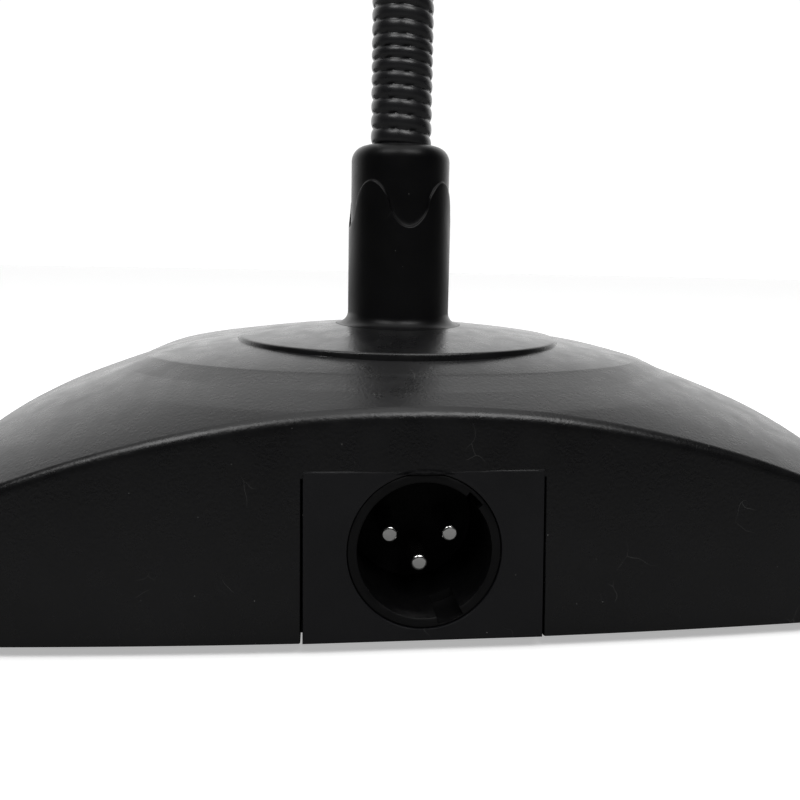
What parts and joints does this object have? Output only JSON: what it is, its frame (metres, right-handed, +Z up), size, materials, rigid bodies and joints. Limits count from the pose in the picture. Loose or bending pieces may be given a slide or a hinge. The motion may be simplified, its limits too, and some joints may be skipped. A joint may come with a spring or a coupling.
{
  "type": "gooseneck podium microphone",
  "caption": "Podium microphone: domed ballasted desk base with a rear XLR inlet and a talk button, bendable gooseneck, ring light and condenser head under a foam windscreen.",
  "frame": {"origin": "on the table, at the centre of the base footprint", "axes": "+Z up, -Y towards the speaker (talk button and leaning head), +Y towards the rear connector wall, +X to the right when seen from the speaker's side"},
  "size_m": [0.127, 0.15, 0.3999],
  "materials": {
    "base_plastic": "fine moulded grain",
    "boot_plastic": "satin",
    "plate_steel": "black powder coat",
    "ballast_iron": "as cast",
    "feet_rubber": "matte",
    "screw_steel": "zinc plated",
    "panel_plastic": "fine moulded grain",
    "shell_metal": "black satin",
    "insert_plastic": "satin",
    "contact_silver": "silver plated",
    "standoff_brass": "turned",
    "board_green": "solder mask",
    "capacitor_can": "sleeved",
    "chip_black": "moulded",
    "transformer_can": "plated",
    "terminal_plastic": "moulded",
    "led_chip": "clear",
    "light_pipe": "clear",
    "wire_jacket": "satin",
    "bezel_metal": "satin black",
    "nut_steel": "plated",
    "switch_plastic": "moulded",
    "button_cap": "soft touch",
    "spring_steel": "drawn wire",
    "spigot_steel": "turned",
    "neck_black": "black satin coil",
    "tube_black": "black satin",
    "ferrule_black": "black satin",
    "ring_lens": "translucent red",
    "head_black": "black satin",
    "grille_steel": "blackened mesh",
    "capsule_brass": "turned",
    "holder_rubber": "matte",
    "foam": "open-cell foam"
  },
  "bodies": {
    "root": {"base_cover": "base_plastic", "neck_boot": "boot_plastic", "bottom_plate": "plate_steel", "ballast_plate": "ballast_iron", "rubber_feet": "feet_rubber", "bottom_screws": "screw_steel", "ballast_screws": "screw_steel", "xlr_panel": "panel_plastic", "xlr_shell": "shell_metal", "xlr_insert": "insert_plastic", "xlr_pins": "contact_silver", "board_standoffs": "standoff_brass", "circuit_board": "board_green", "board_screws": "screw_steel", "board_capacitors": "capacitor_can", "board_chips": "chip_black", "output_transformer": "transformer_can", "terminal_block": "terminal_plastic", "status_led": "led_chip", "status_light_pipe": "light_pipe", "xlr_leads": "wire_jacket", "neck_lead": "wire_jacket", "button_bezel": "bezel_metal", "button_nut": "nut_steel", "switch_body": "switch_plastic", "button_spring": "spring_steel", "switch_leads": "wire_jacket", "neck_spigot": "spigot_steel", "neck_bush": "nut_steel", "neck_washer": "nut_steel", "neck_nut": "nut_steel", "neck_stub": "neck_black"},
    "button": {"power_button": "button_cap"},
    "lower_link_1": {"flex_lower_1": "neck_black"},
    "lower_link_2": {"flex_lower_2": "neck_black"},
    "lower_link_3": {"flex_lower_3": "neck_black"},
    "lower_link_4": {"flex_lower_4": "neck_black"},
    "lower_link_5": {"flex_lower_5": "neck_black"},
    "middle": {"middle_tube": "tube_black", "lower_ferrule": "ferrule_black", "upper_ferrule": "ferrule_black", "tube_lead": "wire_jacket"},
    "upper_link_1": {"flex_upper_1": "neck_black"},
    "upper_link_2": {"flex_upper_2": "neck_black"},
    "upper_link_3": {"flex_upper_3": "neck_black"},
    "upper_link_4": {"flex_upper_4": "neck_black"},
    "upper_link_5": {"flex_upper_5": "neck_black"},
    "head": {"head_stem": "ferrule_black", "ring_light": "ring_lens", "mic_body": "head_black", "mic_grille": "grille_steel", "capsule": "capsule_brass", "capsule_holder": "holder_rubber", "capsule_leads": "wire_jacket"},
    "windscreen": {"foam_windscreen": "foam"}
  },
  "joints": [
    {"name": "lower_bend_1", "type": "hinge", "parent": "root", "child": "lower_link_1", "pos_m": [0, 0.03975, 0.0711], "axis": [1, 0, 0], "range_deg": [-20, 20]},
    {"name": "lower_sway_1", "type": "hinge", "parent": "lower_link_1", "child": "lower_link_2", "pos_m": [0, 0.03952, 0.0841], "axis": [0, 0.9997, 0.0262], "range_deg": [-20, 20]},
    {"name": "lower_bend_2", "type": "hinge", "parent": "lower_link_2", "child": "lower_link_3", "pos_m": [0, 0.03907, 0.09709], "axis": [1, 0, 0], "range_deg": [-20, 20]},
    {"name": "lower_sway_2", "type": "hinge", "parent": "lower_link_3", "child": "lower_link_4", "pos_m": [0, 0.03839, 0.11007], "axis": [0, 0.9981, 0.061], "range_deg": [-20, 20]},
    {"name": "lower_bend_3", "type": "hinge", "parent": "lower_link_4", "child": "lower_link_5", "pos_m": [0, 0.03748, 0.12304], "axis": [1, 0, 0], "range_deg": [-20, 20]},
    {"name": "lower_sway_3", "type": "hinge", "parent": "lower_link_5", "child": "middle", "pos_m": [0, 0.03635, 0.13599], "axis": [0, 0.9954, 0.0958], "range_deg": [-20, 20]},
    {"name": "upper_bend_1", "type": "hinge", "parent": "middle", "child": "upper_link_1", "pos_m": [0, 0.02067, 0.28517], "axis": [1, 0, 0], "range_deg": [-20, 20]},
    {"name": "upper_sway_1", "type": "hinge", "parent": "upper_link_1", "child": "upper_link_2", "pos_m": [0, 0.01775, 0.29784], "axis": [0, 0.9588, 0.284], "range_deg": [-20, 20]},
    {"name": "upper_bend_2", "type": "hinge", "parent": "upper_link_2", "child": "upper_link_3", "pos_m": [0, 0.0133, 0.31005], "axis": [1, 0, 0], "range_deg": [-20, 20]},
    {"name": "upper_sway_2", "type": "hinge", "parent": "upper_link_3", "child": "upper_link_4", "pos_m": [0, 0.0074, 0.32164], "axis": [0, 0.8616, 0.5075], "range_deg": [-20, 20]},
    {"name": "upper_bend_3", "type": "hinge", "parent": "upper_link_4", "child": "upper_link_5", "pos_m": [0, 0.00013, 0.33241], "axis": [1, 0, 0], "range_deg": [-20, 20]},
    {"name": "upper_sway_3", "type": "hinge", "parent": "upper_link_5", "child": "head", "pos_m": [0, -0.0084, 0.34222], "axis": [0, 0.7133, 0.7009], "range_deg": [-20, 20]},
    {"name": "button_press", "type": "slide", "parent": "root", "child": "button", "axis": [0, -0.2609, 0.9654], "range_m": [-0.0015, 0], "stiffness_N_per_m": 1200, "deforming": ["button_spring"]},
    {"name": "windscreen_pull", "type": "slide", "parent": "head", "child": "windscreen", "axis": [0, -0.7431, 0.6691], "range_m": [0, 0.035]}
  ],
  "couplings": [
    {"joint": "lower_bend_2", "follows": "lower_bend_1", "ratio": 1},
    {"joint": "lower_sway_2", "follows": "lower_sway_1", "ratio": 1},
    {"joint": "lower_bend_3", "follows": "lower_bend_1", "ratio": 1},
    {"joint": "lower_sway_3", "follows": "lower_sway_1", "ratio": 1},
    {"joint": "upper_bend_2", "follows": "upper_bend_1", "ratio": 1},
    {"joint": "upper_sway_2", "follows": "upper_sway_1", "ratio": 1},
    {"joint": "upper_bend_3", "follows": "upper_bend_1", "ratio": 1},
    {"joint": "upper_sway_3", "follows": "upper_sway_1", "ratio": 1}
  ]
}
